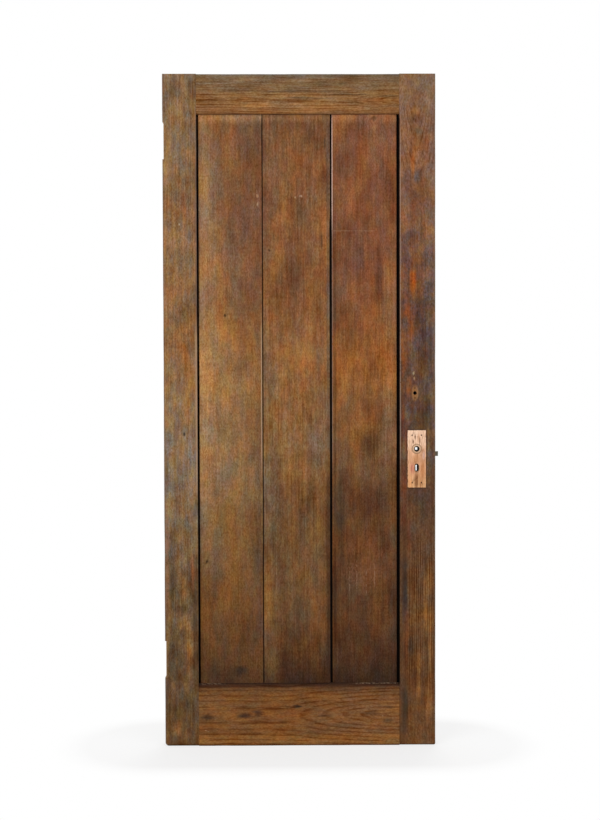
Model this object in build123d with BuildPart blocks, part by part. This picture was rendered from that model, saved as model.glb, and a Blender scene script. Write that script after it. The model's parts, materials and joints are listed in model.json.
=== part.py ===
from build123d import *
import os
from math import radians

# Leaf: outside sizes, in millimetres
leaf_width = 820
leaf_height = 2030
leaf_thickness = 44

# Frame members as they show on the face: the stiles stand a little above the rails, with worn foot corners
hinge_stile_width = 101
lock_stile_width = 108.5
top_rail_height = 120
bottom_rail_height = 189
bevel_fall = 10.5
stile_foot_rise = 1.5
top_rail_drop = 1.2
hinge_foot_wear = 11
lock_foot_wear = 5

# Panel boards: tongued on the left edge, shrunk away from the stiles and from each other
board_thickness = 20
left_board_width = 191
right_board_width = 196
hinge_side_gap = 5.5
lock_side_gap = 7
narrow_joint_gap = 1.6
open_joint_gap = 5
board_arris = 1.5
tongue_thickness = 7
tongue_reach = 9
groove_depth = 11
groove_clearance = 0.2

# Through tenons, haunched in the panel groove and wedged at the outer edges
tenon_thickness = 14
tenon_clearance = 0.1
top_haunch = 42
top_tenon_foot = 2
bottom_haunch = 30
bottom_tenon_height = 55
wedge_length = 70
wedge_thickness = 5

# Hinge gains, open at the front face, with staggered pilot holes
gain_height = 112
gain_depth = 3.5
gain_width = 38
upper_gain_middle = 1831
lower_gain_middle = 265
pilot_radius = 2
pilot_depth = 28
pilot_near_row = 12
pilot_far_row = 27
pilot_pitch = 28

# Mortise lock: places below are taken from the axis of the follower
follower_height = 902
backset = 56
case_above = 34
case_below = 95
case_behind = 27
case_thickness = 16
case_wall = 1.6
case_clearance = 0.3
forend_height = 165
forend_width = 25
forend_thickness = 3
forend_screw_margin = 8
forend_clearance = 0.1
spindle_hole_radius = 8.5

# Follower: hub on two collars, square socket, one horn
hub_radius = 8.5
collar_radius = 7
running_clearance = 0.05
side_clearance = 0.2
socket_size = 8.2
horn_reach = 15.5
horn_half_width = 3
horn_thickness = 5
horn_inset = 1.7
horn_turn = 39.5

# Latch bolt: bevelled nose, round shank in a coil spring, cranked tail with a lug for the horn
latch_projection = 10
latch_height = 14.4
latch_thickness = 12
latch_head_length = 22
latch_nose_flat = 2
latch_bevel_start = 1.5
shank_radius = 2.5
tail_thickness = 4
tail_depth = 9.5
tail_lift = 1
tail_rear = 13
tail_block_front = 13
tail_block_length = 3.5
lug_length = 5.5
push_gap = 0.3
rib_gap = 2.5
rib_thickness = 3
rib_height = 14
spring_radius = 4
spring_wire_radius = 0.5
spring_wire_sides = 6
spring_turns = 5
sliding_clearance = 0.3

# Dead bolt: drawn in flush, with a talon for the key and a slot on a fixed stump
bolt_drop = 38.5
bolt_height = 25
bolt_thickness = 10
bolt_head_length = 22
bolt_throw = 14
bolt_tail_height = 14.5
bolt_tail_thickness = 4
bolt_tail_rear = 19
talon_width = 7
talon_depth = 6.5
talon_lead = 5.5
stump_radius = 2.3
stump_ahead = 25
bolt_rail_thickness = 2
bolt_rail_gap = 3.8
bolt_rail_rear = 9
bolt_rail_front = 32
leaf_spring_thickness = 0.8
leaf_spring_width = 6
leaf_spring_rear = 13
leaf_spring_foot = 5
leaf_spring_span = 30

# Keyhole: rounded slot in the wood, bow and bit shape in the case
keyhole_drop = 52.5
key_bow_radius = 3
key_bit_width = 4.8
key_bit_length = 15.5
wood_keyhole_width = 12.5
wood_keyhole_height = 24
wood_keyhole_drop = 57

# Case posts that take the cap screws
post_radius = 3.6
post_inset = 6
cap_screw_radius = 1.4
cap_screw_head_radius = 2.6
cap_screw_head_depth = 1.2
cap_screw_length = 9
screw_slot_width = 0.8
screw_slot_depth = 0.6
thread_clearance = 0.05

# Lock plate screw holes, on both faces
plate_hole_radius = 1.5
plate_hole_depth = 12
plate_hole_pitch_x = 27.8
plate_hole_pitch_z = 144
plate_middle_drop = 30.6
back_plate_drop = 32.1

# Wood screws that hold the edge plates
edge_screw_radius = 2
edge_screw_head_radius = 4
edge_screw_head_depth = 2
edge_screw_length = 24
edge_screw_point = 4

# Rack bolt in the edge above the follower, with its key bore and two plate screw holes in the face
rack_bolt_rise = 169
rack_bolt_backset = 61.5
rack_bolt_throw = 16
rack_tube_radius = 8
rack_tube_wall = 1.9
rack_tube_end = 84
rack_bolt_radius = 5.8
rack_plate_height = 56
rack_plate_width = 20
rack_plate_thickness = 2.5
rack_screw_offset = 20
rack_key_radius = 4
rack_flat_drop = 2.2
rack_tooth_pitch = 2.6
rack_tooth_depth = 1.2
rack_margin = 3
rack_wood_bore_radius = 5.5
rack_plate_hole_radius = 1.2
rack_plate_hole_depth = 10
rack_plate_hole_pitch = 30

# Overrun of every cut past the face that it opens
overrun = 1

# Datum planes of the leaf
front_y = -leaf_thickness / 2
back_y = leaf_thickness / 2
hinge_edge_x = -leaf_width / 2
lock_edge_x = leaf_width / 2
hinge_inner_x = hinge_edge_x + hinge_stile_width
lock_inner_x = lock_edge_x - lock_stile_width
rail_top_z = leaf_height - top_rail_drop
opening_top_z = leaf_height - top_rail_height
opening_foot_z = bottom_rail_height
groove_half = tongue_thickness / 2 + groove_clearance
haunch_reach = groove_depth - groove_clearance

# Tenon heights in each stile, from the foot up
bottom_tenon_top = bottom_rail_height - groove_depth
tenon_spans = [
    (bottom_haunch, bottom_haunch + bottom_tenon_height),
    (bottom_tenon_top - bottom_tenon_height, bottom_tenon_top),
    (opening_top_z + groove_depth + top_tenon_foot, leaf_height - top_haunch),
]

# Lock datums
follower_x = lock_edge_x - backset
follower_z = follower_height
latch_z = follower_z - horn_reach
bolt_z = follower_z - bolt_drop
key_z = follower_z - keyhole_drop
case_rear_x = follower_x - case_behind
case_front_x = lock_edge_x - forend_thickness
case_top_z = follower_z + case_above
case_foot_z = follower_z - case_below
case_half = case_thickness / 2
cavity_half = case_half - case_wall
forend_middle_z = (case_top_z + case_foot_z) / 2
forend_foot_z = forend_middle_z - forend_height / 2
forend_top_z = forend_middle_z + forend_height / 2
forend_screw_places = [forend_foot_z + forend_screw_margin, forend_top_z - forend_screw_margin]

# Latch datums, from the nose back to the tail
latch_tip_x = lock_edge_x + latch_projection
latch_head_x = latch_tip_x - latch_head_length
tail_top_z = follower_z - hub_radius - tail_lift
tail_foot_z = tail_top_z - tail_depth
tail_block_x = follower_x + tail_block_front
lug_front_x = follower_x - horn_half_width - push_gap
rib_x = tail_block_x + rib_gap
horn_back_y = -cavity_half + horn_inset + horn_thickness
tail_front_y = horn_back_y + push_gap + push_gap

# Dead bolt datums
bolt_top_z = bolt_z + bolt_height / 2
bolt_tail_foot_z = bolt_top_z - bolt_tail_height
bolt_head_x = lock_edge_x - bolt_head_length
stump_x = follower_x + stump_ahead
stump_z = (bolt_top_z + bolt_tail_foot_z) / 2
bolt_rail_z = bolt_top_z + bolt_rail_gap

# Rack bolt datums
rack_bolt_height = follower_height + rack_bolt_rise
rack_key_x = lock_edge_x - rack_bolt_backset
rack_tube_x = lock_edge_x - rack_tube_end
rack_seat_x = lock_edge_x - rack_plate_thickness
rack_bore_radius = rack_tube_radius - rack_tube_wall
rack_rear_x = rack_key_x - rack_bolt_throw - rack_margin
rack_front_x = rack_key_x + rack_key_radius + rack_margin
rack_screw_places = [rack_bolt_height - rack_screw_offset, rack_bolt_height + rack_screw_offset]


def span_rectangle(low_x, high_x, low_y, high_y, mode=Mode.ADD):
    """Rectangle between its low and high limits, in the sketch in hand."""
    with Locations(((low_x + high_x) / 2, (low_y + high_y) / 2)):
        Rectangle(high_x - low_x, high_y - low_y, mode=mode)


def mortise(outer_x, inner_x, low_z, high_z):
    """Mortise of one tenon: parallel at the shoulder, flared at the outer edge for two wedges."""
    outward = (outer_x - inner_x) / abs(outer_x - inner_x)
    flare_x = outer_x - outward * wedge_length
    past_x = outer_x + outward * overrun
    Polygon(
        (inner_x, low_z),
        (flare_x, low_z),
        (outer_x, low_z - wedge_thickness),
        (past_x, low_z - wedge_thickness),
        (past_x, high_z + wedge_thickness),
        (outer_x, high_z + wedge_thickness),
        (flare_x, high_z),
        (inner_x, high_z),
        align=None,
    )


def wedge_pair(outer_x, inner_x, low_z, high_z):
    """The two wedges of one tenon, feather-edged inwards."""
    outward = (outer_x - inner_x) / abs(outer_x - inner_x)
    flare_x = outer_x - outward * wedge_length
    for edge_z, side in ((low_z, -1), (high_z, 1)):
        Polygon(
            (flare_x, edge_z), (outer_x, edge_z), (outer_x, edge_z + side * wedge_thickness), align=None
        )


def edge_screw(head_x, axis_z, ease=0, mode=Mode.ADD):
    """Countersunk wood screw driven in from the lock edge; ease widens it to a hole."""
    tip_x = head_x - edge_screw_length
    shank = edge_screw_radius + ease
    neck_x = head_x - edge_screw_head_depth
    with BuildSketch(Plane.XZ) as outline:
        Polygon(
            (head_x, axis_z),
            (head_x, axis_z + edge_screw_head_radius + ease),
            (neck_x, axis_z + shank),
            (tip_x + edge_screw_point, axis_z + shank),
            (tip_x - ease, axis_z),
            align=None,
        )
    revolve(outline.sketch, axis=Axis((head_x, 0, axis_z), (1, 0, 0)), mode=mode)


def edge_screw_slot(head_x, axis_z):
    """Driver slot across the head of a screw in the lock edge."""
    with BuildSketch(Plane.YZ.offset(head_x)) as outline:
        with Locations((0, axis_z)):
            Rectangle(2 * edge_screw_head_radius, screw_slot_width)
    extrude(outline.sketch, amount=-screw_slot_depth, mode=Mode.SUBTRACT)


def keyhole_outline():
    """Bow and bit of the key, in a sketch on the face of the lock."""
    with Locations((follower_x, key_z)):
        Circle(key_bow_radius)
    half = key_bit_width / 2
    span_rectangle(follower_x - half, follower_x + half, key_z - key_bit_length, key_z)


def post_places():
    """Centres of the four case posts."""
    rear, front = case_rear_x + case_wall + post_inset, case_front_x - post_inset
    foot, top = case_foot_z + case_wall + post_inset, case_top_z - case_wall - post_inset
    return [(rear, foot), (rear, top), (front, foot), (front, top)]


def cap_screw(place, ease=0, mode=Mode.ADD):
    """Countersunk machine screw from the outer face of the cap; ease widens it to a hole."""
    axis_x, axis_z = place
    tip_y = case_half - cap_screw_length - ease
    shank_x = axis_x + cap_screw_radius + ease
    with BuildSketch(Plane.XY.offset(axis_z)) as outline:
        Polygon(
            (axis_x, case_half),
            (axis_x + cap_screw_head_radius + ease, case_half),
            (shank_x, case_half - cap_screw_head_depth),
            (shank_x, tip_y),
            (axis_x, tip_y),
            align=None,
        )
    revolve(outline.sketch, axis=Axis((axis_x, 0, axis_z), (0, 1, 0)), mode=mode)


# Hinge stile
with BuildPart() as hinge_stile:
    with BuildSketch(Plane.XY.offset(stile_foot_rise)):
        span_rectangle(hinge_edge_x, hinge_inner_x, front_y, back_y)
        span_rectangle(
            hinge_inner_x - groove_depth, hinge_inner_x, -groove_half, groove_half, mode=Mode.SUBTRACT
        )
    extrude(amount=leaf_height - stile_foot_rise)
    foot_edges = hinge_stile.edges().filter_by(Axis.Y).group_by(Axis.Z)[0]
    fillet(foot_edges.sort_by(Axis.X)[0], radius=hinge_foot_wear)
    with BuildSketch(Plane.XZ):
        for low_z, high_z in tenon_spans:
            mortise(hinge_edge_x, hinge_inner_x, low_z, high_z)
    extrude(amount=tenon_thickness / 2 + tenon_clearance, both=True, mode=Mode.SUBTRACT)
    with BuildSketch(Plane.XZ.offset(leaf_thickness / 2 + overrun)):
        for middle_z in (lower_gain_middle, upper_gain_middle):
            low_z, high_z = middle_z - gain_height / 2, middle_z + gain_height / 2
            span_rectangle(hinge_edge_x - overrun, hinge_edge_x + gain_depth, low_z, high_z)
    extrude(amount=-gain_width - overrun, mode=Mode.SUBTRACT)
    with BuildSketch(Plane.YZ.offset(hinge_edge_x)):
        for middle_z in (lower_gain_middle, upper_gain_middle):
            for row, shift in ((pilot_near_row, -pilot_pitch / 2), (pilot_far_row, pilot_pitch / 2)):
                with Locations((front_y + row, middle_z + shift)):
                    with GridLocations(pilot_pitch, 2 * pilot_pitch, 1, 2):
                        Circle(pilot_radius)
    extrude(amount=gain_depth + pilot_depth, mode=Mode.SUBTRACT)
hinge_stile.part.label = "hinge_stile"

# Lock stile
with BuildPart() as lock_stile:
    with BuildSketch(Plane.XY.offset(stile_foot_rise)):
        span_rectangle(lock_inner_x, lock_edge_x, front_y, back_y)
        span_rectangle(
            lock_inner_x, lock_inner_x + groove_depth, -groove_half, groove_half, mode=Mode.SUBTRACT
        )
    extrude(amount=leaf_height - stile_foot_rise)
    foot_edges = lock_stile.edges().filter_by(Axis.Y).group_by(Axis.Z)[0]
    fillet(foot_edges.sort_by(Axis.X)[-1], radius=lock_foot_wear)
    with BuildSketch(Plane.XZ):
        for low_z, high_z in tenon_spans:
            mortise(lock_edge_x, lock_inner_x, low_z, high_z)
    extrude(amount=tenon_thickness / 2 + tenon_clearance, both=True, mode=Mode.SUBTRACT)
    # Mortise for the lock case, and the shallow housing of its edge plate
    with BuildSketch(Plane.XZ):
        span_rectangle(
            case_rear_x - case_clearance,
            lock_edge_x + overrun,
            case_foot_z - case_clearance,
            case_top_z + case_clearance,
        )
    extrude(amount=case_half + case_clearance, both=True, mode=Mode.SUBTRACT)
    with BuildSketch(Plane.YZ.offset(case_front_x)):
        with Locations((0, forend_middle_z)):
            Rectangle(forend_width + 2 * forend_clearance, forend_height + 2 * forend_clearance)
    extrude(amount=forend_thickness + overrun, mode=Mode.SUBTRACT)
    for place in forend_screw_places:
        edge_screw(lock_edge_x, place, ease=thread_clearance, mode=Mode.SUBTRACT)
    # Spindle hole and keyhole, right through
    with BuildSketch(Plane.XZ):
        with Locations((follower_x, follower_z)):
            Circle(spindle_hole_radius)
        with Locations((follower_x, follower_z - wood_keyhole_drop)):
            SlotOverall(wood_keyhole_height, wood_keyhole_width, rotation=90)
    extrude(amount=leaf_thickness / 2 + overrun, both=True, mode=Mode.SUBTRACT)
    # Screw holes of the lost lock plates, in both faces
    for outward, drop in ((1, plate_middle_drop), (-1, back_plate_drop)):
        with BuildSketch(Plane.XZ.offset(outward * leaf_thickness / 2)):
            with Locations((follower_x, follower_z - drop)):
                with GridLocations(plate_hole_pitch_x, plate_hole_pitch_z, 2, 2):
                    Circle(plate_hole_radius)
        extrude(amount=-outward * plate_hole_depth, mode=Mode.SUBTRACT)
    # Rack bolt: bore from the edge, housing of its plate, key bore and screw holes in the face
    with BuildSketch(Plane.YZ.offset(lock_edge_x + overrun)):
        with Locations((0, rack_bolt_height)):
            Circle(rack_tube_radius + case_clearance)
    extrude(amount=-rack_tube_end - overrun - case_clearance, mode=Mode.SUBTRACT)
    with BuildSketch(Plane.YZ.offset(rack_seat_x)):
        with Locations((0, rack_bolt_height)):
            Rectangle(rack_plate_width + 2 * forend_clearance, rack_plate_height + 2 * forend_clearance)
    extrude(amount=rack_plate_thickness + overrun, mode=Mode.SUBTRACT)
    for place in rack_screw_places:
        edge_screw(lock_edge_x, place, ease=thread_clearance, mode=Mode.SUBTRACT)
    with BuildSketch(Plane.XZ):
        with Locations((rack_key_x, rack_bolt_height)):
            Circle(rack_wood_bore_radius)
    extrude(amount=leaf_thickness / 2 + overrun, mode=Mode.SUBTRACT)
    with BuildSketch(Plane.XZ.offset(leaf_thickness / 2)):
        with Locations((rack_key_x, rack_bolt_height)):
            with GridLocations(rack_plate_hole_pitch, rack_plate_hole_pitch, 1, 2):
                Circle(rack_plate_hole_radius)
    extrude(amount=-rack_plate_hole_depth, mode=Mode.SUBTRACT)
lock_stile.part.label = "lock_stile"

# Top rail, with a haunched tenon at each end
with BuildPart() as top_rail:
    with BuildSketch(Plane.YZ.offset(hinge_inner_x)):
        span_rectangle(front_y, back_y, opening_top_z, rail_top_z)
        span_rectangle(
            -groove_half, groove_half, opening_top_z, opening_top_z + groove_depth, mode=Mode.SUBTRACT
        )
    extrude(amount=lock_inner_x - hinge_inner_x)
    tenon_low, tenon_high = tenon_spans[2]
    with BuildSketch(Plane.XZ):
        span_rectangle(hinge_edge_x, hinge_inner_x, tenon_low, tenon_high)
        span_rectangle(lock_inner_x, lock_edge_x, tenon_low, tenon_high)
    extrude(amount=tenon_thickness / 2, both=True)
    with BuildSketch(Plane.XZ):
        span_rectangle(hinge_inner_x - haunch_reach, hinge_inner_x, tenon_low, rail_top_z)
        span_rectangle(lock_inner_x, lock_inner_x + haunch_reach, tenon_low, rail_top_z)
    extrude(amount=tongue_thickness / 2, both=True)
top_rail.part.label = "top_rail"

# Bottom rail, bevelled from the panel down to both faces, with twin haunched tenons
with BuildPart() as bottom_rail:
    face_top_z = bottom_rail_height - bevel_fall
    with BuildSketch(Plane.YZ.offset(hinge_inner_x)):
        with BuildLine():
            Polyline(
                (front_y, 0),
                (back_y, 0),
                (back_y, face_top_z),
                (board_thickness / 2, bottom_rail_height),
                (-board_thickness / 2, bottom_rail_height),
                (front_y, face_top_z),
                close=True,
            )
        make_face()
        span_rectangle(
            -groove_half, groove_half, opening_foot_z - groove_depth, opening_foot_z, mode=Mode.SUBTRACT
        )
    extrude(amount=lock_inner_x - hinge_inner_x)
    with BuildSketch(Plane.XZ):
        for low_z, high_z in tenon_spans[:2]:
            span_rectangle(hinge_edge_x, hinge_inner_x, low_z, high_z)
            span_rectangle(lock_inner_x, lock_edge_x, low_z, high_z)
    extrude(amount=tenon_thickness / 2, both=True)
    with BuildSketch(Plane.XZ):
        span_rectangle(hinge_inner_x - haunch_reach, hinge_inner_x, 0, bottom_tenon_top)
        span_rectangle(lock_inner_x, lock_inner_x + haunch_reach, 0, bottom_tenon_top)
    extrude(amount=tongue_thickness / 2, both=True)
bottom_rail.part.label = "bottom_rail"

# Wedges of the tenons
with BuildPart() as bottom_wedges:
    with BuildSketch(Plane.XZ):
        for low_z, high_z in tenon_spans[:2]:
            wedge_pair(hinge_edge_x, hinge_inner_x, low_z, high_z)
            wedge_pair(lock_edge_x, lock_inner_x, low_z, high_z)
    extrude(amount=tenon_thickness / 2, both=True)
bottom_wedges.part.label = "bottom_wedges"

with BuildPart() as top_wedges:
    with BuildSketch(Plane.XZ):
        wedge_pair(hinge_edge_x, hinge_inner_x, *tenon_spans[2])
        wedge_pair(lock_edge_x, lock_inner_x, *tenon_spans[2])
    extrude(amount=tenon_thickness / 2, both=True)
top_wedges.part.label = "top_wedges"

# Panel boards, from the hinge side: face limits of each
left_face_x = hinge_inner_x + hinge_side_gap
left_joint_x = left_face_x + left_board_width
right_end_x = lock_inner_x - lock_side_gap
right_face_x = right_end_x - right_board_width
middle_face_x = left_joint_x + narrow_joint_gap
middle_joint_x = right_face_x - open_joint_gap


def board_face(low_x, high_x):
    """Full-thickness part of a board, between the rails, with eased arrises."""
    with BuildSketch(Plane.XY.offset(opening_foot_z)) as outline:
        span_rectangle(low_x, high_x, -board_thickness / 2, board_thickness / 2)
        chamfer(outline.vertices(), length=board_arris)
    extrude(outline.sketch, amount=opening_top_z - opening_foot_z)


def end_tongues(low_x, high_x):
    """Tongues at the two ends of a board, in the grooves of the rails."""
    with BuildSketch(Plane.XZ) as outline:
        span_rectangle(low_x, high_x, opening_foot_z - tongue_reach, opening_top_z + tongue_reach)
    extrude(outline.sketch, amount=tongue_thickness / 2, both=True)


def edge_tongue(low_x, high_x):
    """Tongue along one edge of a board, the full height of the opening."""
    with BuildSketch(Plane.XZ) as outline:
        span_rectangle(low_x, high_x, opening_foot_z, opening_top_z)
    extrude(outline.sketch, amount=tongue_thickness / 2, both=True)


def edge_groove(edge_x):
    """Groove in the right edge of a board for the tongue of the next one."""
    past_z = tongue_reach + overrun
    with BuildSketch(Plane.XZ) as outline:
        span_rectangle(
            edge_x - groove_depth, edge_x + overrun, opening_foot_z - past_z, opening_top_z + past_z
        )
    extrude(outline.sketch, amount=groove_half, both=True, mode=Mode.SUBTRACT)


with BuildPart() as board_left:
    board_face(left_face_x, left_joint_x)
    end_tongues(left_face_x, left_joint_x)
    edge_tongue(hinge_inner_x - tongue_reach, left_face_x)
    edge_groove(left_joint_x)
board_left.part.label = "board_left"

with BuildPart() as board_middle:
    board_face(middle_face_x, middle_joint_x)
    end_tongues(middle_face_x, middle_joint_x)
    edge_tongue(left_joint_x - tongue_reach, middle_face_x)
    edge_groove(middle_joint_x)
board_middle.part.label = "board_middle"

with BuildPart() as board_right:
    board_face(right_face_x, right_end_x)
    end_tongues(right_face_x, right_end_x)
    edge_tongue(middle_joint_x - tongue_reach, right_face_x)
    edge_tongue(right_end_x, lock_inner_x + tongue_reach)
board_right.part.label = "board_right"

# Lock case: folded tray, open to the edge plate, with its ribs, rail, stump and posts
with BuildPart() as lock_case:
    with BuildSketch(Plane.XZ.offset(case_half)):
        span_rectangle(case_rear_x, case_front_x, case_foot_z, case_top_z)
    extrude(amount=-case_thickness + case_wall)
    with BuildSketch(Plane.XZ.offset(cavity_half)):
        span_rectangle(
            case_rear_x + case_wall, case_front_x + overrun, case_foot_z + case_wall, case_top_z - case_wall
        )
    extrude(amount=-2 * cavity_half - overrun, mode=Mode.SUBTRACT)
    with BuildSketch(Plane.XZ.offset(cavity_half)):
        with Locations(*post_places()):
            Circle(post_radius)
        with Locations((stump_x, stump_z)):
            Circle(stump_radius)
        span_rectangle(
            follower_x - bolt_rail_rear,
            follower_x + bolt_rail_front,
            bolt_rail_z,
            bolt_rail_z + bolt_rail_thickness,
        )
        rib_foot_z = bolt_rail_z + bolt_rail_thickness
        span_rectangle(rib_x, rib_x + rib_thickness, rib_foot_z, rib_foot_z + rib_height)
    extrude(amount=-2 * cavity_half)
    with BuildSketch(Plane.XZ.offset(shank_radius + sliding_clearance)):
        half = shank_radius + sliding_clearance
        span_rectangle(rib_x - overrun, rib_x + rib_thickness + overrun, latch_z - half, latch_z + half)
    extrude(amount=-case_thickness, mode=Mode.SUBTRACT)
    with BuildSketch(Plane.XZ.offset(case_half + overrun)):
        with Locations((follower_x, follower_z)):
            Circle(collar_radius + running_clearance)
        keyhole_outline()
    extrude(amount=-case_wall - 2 * overrun, mode=Mode.SUBTRACT)
    for place in post_places():
        cap_screw(place, ease=thread_clearance, mode=Mode.SUBTRACT)
lock_case.part.label = "lock_case"

# Lock cap: cover plate at the back of the case
with BuildPart() as lock_cap:
    with BuildSketch(Plane.XZ.offset(-cavity_half)):
        span_rectangle(case_rear_x, case_front_x, case_foot_z, case_top_z)
        with Locations((follower_x, follower_z)):
            Circle(collar_radius + running_clearance, mode=Mode.SUBTRACT)
    extrude(amount=-case_wall)
    with BuildSketch(Plane.XZ.offset(-cavity_half + overrun)):
        keyhole_outline()
    extrude(amount=-case_wall - 2 * overrun, mode=Mode.SUBTRACT)
    for place in post_places():
        cap_screw(place, ease=thread_clearance, mode=Mode.SUBTRACT)
lock_cap.part.label = "lock_cap"

with BuildPart() as cap_screws:
    for place in post_places():
        cap_screw(place)
    with BuildSketch(Plane.XZ.offset(-case_half)):
        with Locations(*post_places()):
            Rectangle(2 * cap_screw_head_radius, screw_slot_width)
    extrude(amount=screw_slot_depth, mode=Mode.SUBTRACT)
cap_screws.part.label = "cap_screws"

# Edge plate of the lock, with the openings of the two bolts
with BuildPart() as lock_forend:
    with BuildSketch(Plane.YZ.offset(case_front_x)):
        with Locations((0, forend_middle_z)):
            Rectangle(forend_width, forend_height)
        with Locations((0, latch_z)):
            Rectangle(
                latch_thickness + 2 * sliding_clearance,
                latch_height + 2 * sliding_clearance,
                mode=Mode.SUBTRACT,
            )
        with Locations((0, bolt_z)):
            Rectangle(
                bolt_thickness + 2 * sliding_clearance,
                bolt_height + 2 * sliding_clearance,
                mode=Mode.SUBTRACT,
            )
    extrude(amount=forend_thickness)
    for place in forend_screw_places:
        edge_screw(lock_edge_x, place, ease=thread_clearance, mode=Mode.SUBTRACT)
lock_forend.part.label = "lock_forend"

with BuildPart() as forend_screws:
    for place in forend_screw_places:
        edge_screw(lock_edge_x, place)
        edge_screw_slot(lock_edge_x, place)
forend_screws.part.label = "forend_screws"

# Follower
with BuildPart() as follower:
    with BuildSketch(Plane.XZ):
        with Locations((follower_x, follower_z)):
            Circle(hub_radius)
    extrude(amount=cavity_half - side_clearance, both=True)
    with BuildSketch(Plane.XZ):
        with Locations((follower_x, follower_z)):
            Circle(collar_radius)
    extrude(amount=case_half, both=True)
    with BuildSketch(Plane.XZ.offset(cavity_half - horn_inset)):
        span_rectangle(
            follower_x - horn_half_width, follower_x + horn_half_width, latch_z, follower_z
        )
        with Locations((follower_x, latch_z)):
            Circle(horn_half_width)
    extrude(amount=-horn_thickness)
    with BuildSketch(Plane.XZ):
        with Locations((follower_x, follower_z)):
            Rectangle(socket_size, socket_size)
    extrude(amount=case_half + overrun, both=True, mode=Mode.SUBTRACT)
follower.part.label = "follower"

# Latch bolt
with BuildPart() as latch_bolt:
    with BuildSketch(Plane.XY.offset(latch_z - latch_height / 2)):
        flat_y, bevel_y = -latch_thickness / 2, latch_thickness / 2
        with BuildLine():
            Polyline(
                (latch_head_x, flat_y),
                (latch_tip_x, flat_y),
                (latch_tip_x, flat_y + latch_nose_flat),
                (lock_edge_x - latch_bevel_start, bevel_y),
                (latch_head_x, bevel_y),
                close=True,
            )
        make_face()
    extrude(amount=latch_height)
    with BuildSketch(Plane.YZ.offset(tail_block_x - tail_block_length)):
        with Locations((0, latch_z)):
            Circle(shank_radius)
    extrude(amount=latch_head_x - tail_block_x + tail_block_length)
    tail_back_y = tail_front_y + tail_thickness
    with BuildSketch(Plane.XY.offset(tail_foot_z)):
        span_rectangle(follower_x - tail_rear, tail_block_x, tail_front_y, tail_back_y)
        span_rectangle(tail_block_x - tail_block_length, tail_block_x, -shank_radius, tail_back_y)
        span_rectangle(lug_front_x - lug_length, lug_front_x, horn_back_y - horn_thickness, tail_back_y)
    extrude(amount=tail_depth)
latch_bolt.part.label = "latch_bolt"

# Coil spring on the latch shank, between the rib and the head
with BuildPart() as latch_spring:
    coil_start_x = rib_x + rib_thickness + sliding_clearance + spring_wire_radius
    coil_length = latch_head_x - sliding_clearance - spring_wire_radius - coil_start_x
    with BuildLine() as coil:
        Helix(
            pitch=coil_length / spring_turns,
            height=coil_length,
            radius=spring_radius,
            center=(coil_start_x, 0, latch_z),
            direction=(1, 0, 0),
        )
    with BuildSketch(Plane(origin=coil.line @ 0, z_dir=coil.line % 0)):
        RegularPolygon(spring_wire_radius, spring_wire_sides)
    sweep(path=coil.line)
latch_spring.part.label = "latch_spring"

# Dead bolt
with BuildPart() as dead_bolt:
    with BuildSketch(Plane.XZ):
        span_rectangle(bolt_head_x, lock_edge_x, bolt_z - bolt_height / 2, bolt_top_z)
    extrude(amount=bolt_thickness / 2, both=True)
    talon_x = follower_x - talon_lead
    with BuildSketch(Plane.XZ):
        span_rectangle(follower_x - bolt_tail_rear, bolt_head_x, bolt_tail_foot_z, bolt_top_z)
        span_rectangle(
            talon_x - talon_width,
            talon_x,
            bolt_tail_foot_z - overrun,
            bolt_tail_foot_z + talon_depth,
            mode=Mode.SUBTRACT,
        )
        slot_half = stump_radius + sliding_clearance
        with Locations((stump_x - bolt_throw / 2, stump_z)):
            SlotOverall(bolt_throw + 2 * slot_half, 2 * slot_half, mode=Mode.SUBTRACT)
    extrude(amount=bolt_tail_thickness / 2, both=True)
dead_bolt.part.label = "dead_bolt"

# Leaf spring riding on the dead bolt's tail, bowed up to the rail of the case
with BuildPart() as bolt_spring:
    bow_rear_x = follower_x - leaf_spring_rear + leaf_spring_foot
    bow_front_x = bow_rear_x + leaf_spring_span
    foot_z = bolt_top_z + leaf_spring_thickness / 2
    crown_z = bolt_rail_z - sliding_clearance - leaf_spring_thickness / 2
    with BuildSketch(Plane.XZ):
        with BuildLine():
            Line((bow_rear_x - leaf_spring_foot, foot_z), (bow_rear_x, foot_z))
            ThreePointArc(
                (bow_rear_x, foot_z), ((bow_rear_x + bow_front_x) / 2, crown_z), (bow_front_x, foot_z)
            )
        trace(line_width=leaf_spring_thickness)
    extrude(amount=leaf_spring_width / 2, both=True)
bolt_spring.part.label = "bolt_spring"

# Rack bolt: tube and edge plate in one piece
with BuildPart() as rack_bolt_body:
    with BuildSketch(Plane.YZ.offset(rack_tube_x)):
        with Locations((0, rack_bolt_height)):
            Circle(rack_tube_radius)
    extrude(amount=rack_seat_x - rack_tube_x)
    with BuildSketch(Plane.YZ.offset(rack_seat_x)):
        with Locations((0, rack_bolt_height)):
            Rectangle(rack_plate_width, rack_plate_height)
    extrude(amount=rack_plate_thickness)
    with BuildSketch(Plane.YZ.offset(rack_tube_x + rack_tube_wall)):
        with Locations((0, rack_bolt_height)):
            Circle(rack_bore_radius)
    extrude(amount=lock_edge_x - rack_tube_x, mode=Mode.SUBTRACT)
    with BuildSketch(Plane.XZ):
        with Locations((rack_key_x, rack_bolt_height)):
            Circle(rack_key_radius)
    extrude(amount=rack_tube_radius + overrun, both=True, mode=Mode.SUBTRACT)
    for place in rack_screw_places:
        edge_screw(lock_edge_x, place, ease=thread_clearance, mode=Mode.SUBTRACT)
rack_bolt_body.part.label = "rack_bolt_body"

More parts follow.
